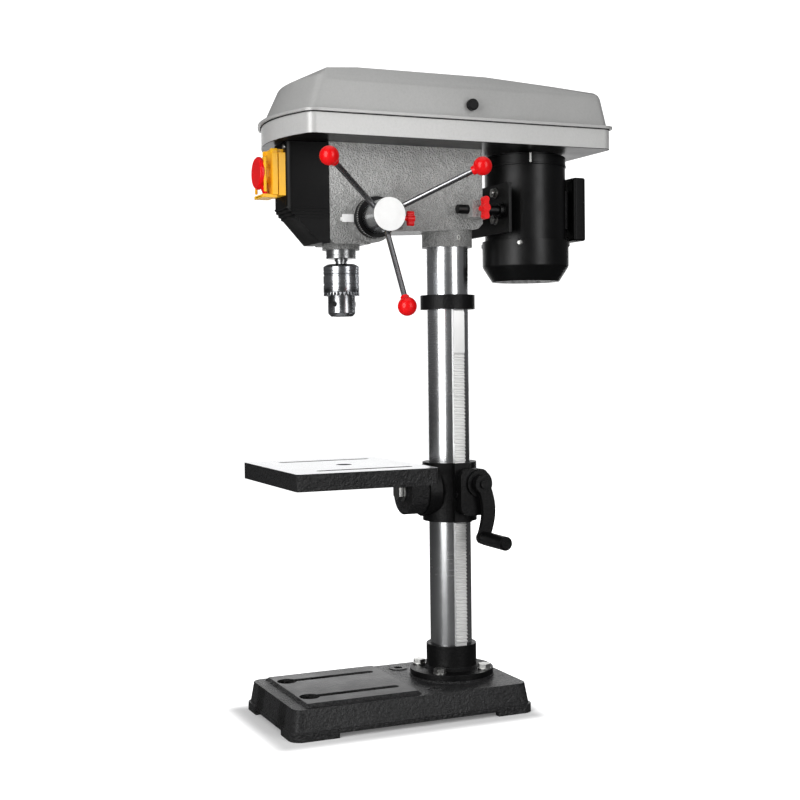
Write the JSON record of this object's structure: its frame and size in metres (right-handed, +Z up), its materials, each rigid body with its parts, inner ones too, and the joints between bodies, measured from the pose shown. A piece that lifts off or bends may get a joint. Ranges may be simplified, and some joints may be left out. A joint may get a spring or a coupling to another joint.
{
  "type": "drill press",
  "caption": "Bench drill press with stepped belt drive, quill feed, keyed chuck and a tilting table lifted on a column by rack and crank.",
  "frame": {"origin": "on the bench top, midway between the two bench-bolt holes of the base", "axes": "+Z up along the column; -Y towards the operator; +X towards the feed-handle side"},
  "size_m": [0.318, 0.5482, 0.9627],
  "materials": {
    "black_wrinkle": "black wrinkle paint on cast iron",
    "machined_iron": "machined grey iron top with black painted sides",
    "hammer_paint": "light grey hammertone paint on cast iron",
    "cover_paint": "light grey hammertone paint on sheet steel",
    "black_paint": "satin black paint",
    "bright_steel": "bright turned steel",
    "column_steel": "ground steel tube",
    "chrome_plate": "bright chrome plate",
    "black_plastic": "matte black plastic",
    "red_plastic": "glossy red plastic",
    "yellow_plastic": "yellow plastic",
    "green_plastic": "green plastic",
    "white_plastic": "white plastic",
    "rubber_black": "black rubber",
    "pulley_alloy": "cast and turned aluminium"
  },
  "bodies": {
    "frame": {"base_casting": "black_wrinkle", "column_flange": "black_wrinkle", "flange_bolts": "bright_steel", "column_tube": "column_steel", "rack_collar": "black_wrinkle", "small_screws": "bright_steel", "head_casting": "hammer_paint", "front_cover": "black_plastic", "switch_housing": "yellow_plastic", "feed_bush": "bright_steel", "spring_cap": "black_paint", "return_spring": "bright_steel", "depth_pointer": "white_plastic", "belt_pan": "cover_paint", "lid_hinge_pins": "bright_steel", "lid_seal": "rubber_black", "idler_post": "bright_steel", "pulley_bearings": "bright_steel", "drive_belts": "rubber_black", "cable_gland": "black_plastic"},
    "rack_ring": {"rack": "bright_steel"},
    "bracket": {"table_bracket": "black_wrinkle", "tilt_bolt": "bright_steel"},
    "lifting_gear": {"lift_gear": "bright_steel"},
    "crank": {"worm_shaft": "bright_steel", "crank_arm": "black_wrinkle"},
    "grip": {"crank_grip": "black_plastic"},
    "bracket_lock": {"bracket_lock_handle": "black_paint"},
    "work_table": {"table": "machined_iron"},
    "quill_unit": {"quill": "bright_steel", "quill_bearings": "bright_steel"},
    "spindle_unit": {"spindle": "bright_steel", "chuck_body": "chrome_plate"},
    "sleeve": {"chuck_sleeve": "chrome_plate"},
    "jaw_1": {"chuck_jaw_1": "bright_steel"},
    "jaw_2": {"chuck_jaw_2": "bright_steel"},
    "jaw_3": {"chuck_jaw_3": "bright_steel"},
    "feed": {"pinion_shaft": "bright_steel", "feed_hub": "chrome_plate", "hub_cap": "white_plastic", "feed_rods": "chrome_plate", "feed_knobs": "red_plastic"},
    "depth_ring": {"depth_scale_ring": "black_plastic"},
    "depth_lock": {"depth_lock_knob": "red_plastic"},
    "top_pulley": {"spindle_pulley": "pulley_alloy"},
    "idler": {"idler_pulley": "pulley_alloy"},
    "motor": {"motor_body": "black_paint", "motor_fan_cover": "black_paint", "motor_plate": "black_paint", "motor_bolts": "bright_steel", "slide_bars": "black_paint", "capacitor_box": "black_plastic"},
    "rotor": {"motor_rotor": "bright_steel", "motor_pulley": "pulley_alloy"},
    "slide_lock": {"slide_lock_knob": "red_plastic"},
    "lid": {"belt_lid": "cover_paint", "lid_knob": "black_plastic"},
    "flap": {"switch_flap": "yellow_plastic"},
    "stop": {"stop_mushroom": "red_plastic"},
    "start": {"start_button": "green_plastic"}
  },
  "joints": [
    {"name": "rack_swing", "type": "hinge", "parent": "frame", "child": "rack_ring", "pos_m": [0, 0.06, 0.3], "axis": [0, 0, 1], "range_deg": [-180, 180]},
    {"name": "table_lift", "type": "slide", "parent": "rack_ring", "child": "bracket", "axis": [0, 0, 1], "range_m": [-0.185, 0.2]},
    {"name": "lift_gear_turn", "type": "hinge", "parent": "bracket", "child": "lifting_gear", "pos_m": [0.0497, 0.06, 0.3307], "axis": [0, 1, 0], "range_deg": [-1100, 1020]},
    {"name": "crank_turn", "type": "hinge", "parent": "bracket", "child": "crank", "pos_m": [0.0726, 0.078, 0.349], "axis": [1, 0, 0], "range_deg": [-12130, 13110]},
    {"name": "crank_grip_spin", "type": "hinge", "parent": "crank", "child": "grip", "pos_m": [0.1, 0.078, 0.267], "axis": [1, 0, 0], "continuous": true},
    {"name": "bracket_lock_turn", "type": "hinge", "parent": "bracket", "child": "bracket_lock", "pos_m": [-0.0552, 0.06, 0.33], "axis": [0, 1, 0], "range_deg": [0, 90]},
    {"name": "table_tilt", "type": "hinge", "parent": "bracket", "child": "work_table", "pos_m": [0, -0.02, 0.336], "axis": [0, 1, 0], "range_deg": [-45, 45]},
    {"name": "quill_feed", "type": "slide", "parent": "frame", "child": "quill_unit", "axis": [0, 0, -1], "range_m": [0, 0.06], "stiffness_N_per_m": 600, "springref_m": -0.06},
    {"name": "spindle_spin", "type": "hinge", "parent": "quill_unit", "child": "spindle_unit", "pos_m": [0, -0.1165, 0.75], "axis": [0, 0, 1], "continuous": true},
    {"name": "chuck_sleeve_turn", "type": "hinge", "parent": "spindle_unit", "child": "sleeve", "pos_m": [0, -0.1165, 0.65], "axis": [0, 0, 1], "range_deg": [0, 720]},
    {"name": "jaw_1_slide", "type": "slide", "parent": "spindle_unit", "child": "jaw_1", "axis": [-0.2241, -0.1294, -0.9659], "range_m": [0, 0.022]},
    {"name": "jaw_2_slide", "type": "slide", "parent": "spindle_unit", "child": "jaw_2", "axis": [0.2241, -0.1294, -0.9659], "range_m": [0, 0.022]},
    {"name": "jaw_3_slide", "type": "slide", "parent": "spindle_unit", "child": "jaw_3", "axis": [0, 0.2588, -0.9659], "range_m": [0, 0.022]},
    {"name": "feed_turn", "type": "hinge", "parent": "frame", "child": "feed", "pos_m": [0.06, -0.0855, 0.7485], "axis": [1, 0, 0], "range_deg": [0, 330]},
    {"name": "depth_ring_turn", "type": "hinge", "parent": "feed", "child": "depth_ring", "pos_m": [0.0615, -0.0855, 0.7485], "axis": [1, 0, 0], "range_deg": [-150, 150]},
    {"name": "depth_lock_turn", "type": "hinge", "parent": "depth_ring", "child": "depth_lock", "pos_m": [0.0615, -0.04, 0.7485], "axis": [0, 1, 0], "range_deg": [0, 180]},
    {"name": "motor_slide", "type": "slide", "parent": "frame", "child": "motor", "axis": [0, 1, 0], "range_m": [-0.015, 0], "deforming": ["drive_belts"]},
    {"name": "motor_spin", "type": "hinge", "parent": "motor", "child": "rotor", "pos_m": [0, 0.1987, 0.78], "axis": [0, 0, 1], "continuous": true},
    {"name": "idler_spin", "type": "hinge", "parent": "frame", "child": "idler", "pos_m": [0, 0.025, 0.89], "axis": [0, 0, 1], "continuous": true},
    {"name": "top_pulley_spin", "type": "hinge", "parent": "frame", "child": "top_pulley", "pos_m": [0, -0.1165, 0.89], "axis": [0, 0, 1], "continuous": true},
    {"name": "slide_lock_turn", "type": "hinge", "parent": "frame", "child": "slide_lock", "pos_m": [0.08, 0.083, 0.7655], "axis": [1, 0, 0], "range_deg": [0, 180]},
    {"name": "lid_hinge", "type": "hinge", "parent": "frame", "child": "lid", "pos_m": [-0.115, 0.06, 0.8917], "axis": [0, -1, 0], "range_deg": [0, 95]},
    {"name": "flap_hinge", "type": "hinge", "parent": "frame", "child": "flap", "pos_m": [0, -0.225, 0.8465], "axis": [-1, 0, 0], "range_deg": [0, 80]},
    {"name": "stop_press", "type": "slide", "parent": "flap", "child": "stop", "axis": [0, 1, 0], "range_m": [0, 0.003], "stiffness_N_per_m": 400, "springref_m": -0.002},
    {"name": "start_press", "type": "slide", "parent": "frame", "child": "start", "axis": [0, 1, 0], "range_m": [0, 0.003], "stiffness_N_per_m": 300, "springref_m": -0.001}
  ],
  "couplings": [
    {"joint": "lift_gear_turn", "follows": "table_lift", "rad_per_m": -95.238},
    {"joint": "crank_turn", "follows": "table_lift", "rad_per_m": 1142.9},
    {"joint": "feed_turn", "follows": "quill_feed", "rad_per_m": 95.238},
    {"joint": "idler_spin", "follows": "motor_spin", "ratio": 1.5988},
    {"joint": "top_pulley_spin", "follows": "motor_spin", "ratio": 3.1766},
    {"joint": "spindle_spin", "follows": "motor_spin", "ratio": 3.1766},
    {"joint": "jaw_1_slide", "follows": "chuck_sleeve_turn", "m_per_rad": 0.0017507},
    {"joint": "jaw_2_slide", "follows": "chuck_sleeve_turn", "m_per_rad": 0.0017507},
    {"joint": "jaw_3_slide", "follows": "chuck_sleeve_turn", "m_per_rad": 0.0017507}
  ]
}
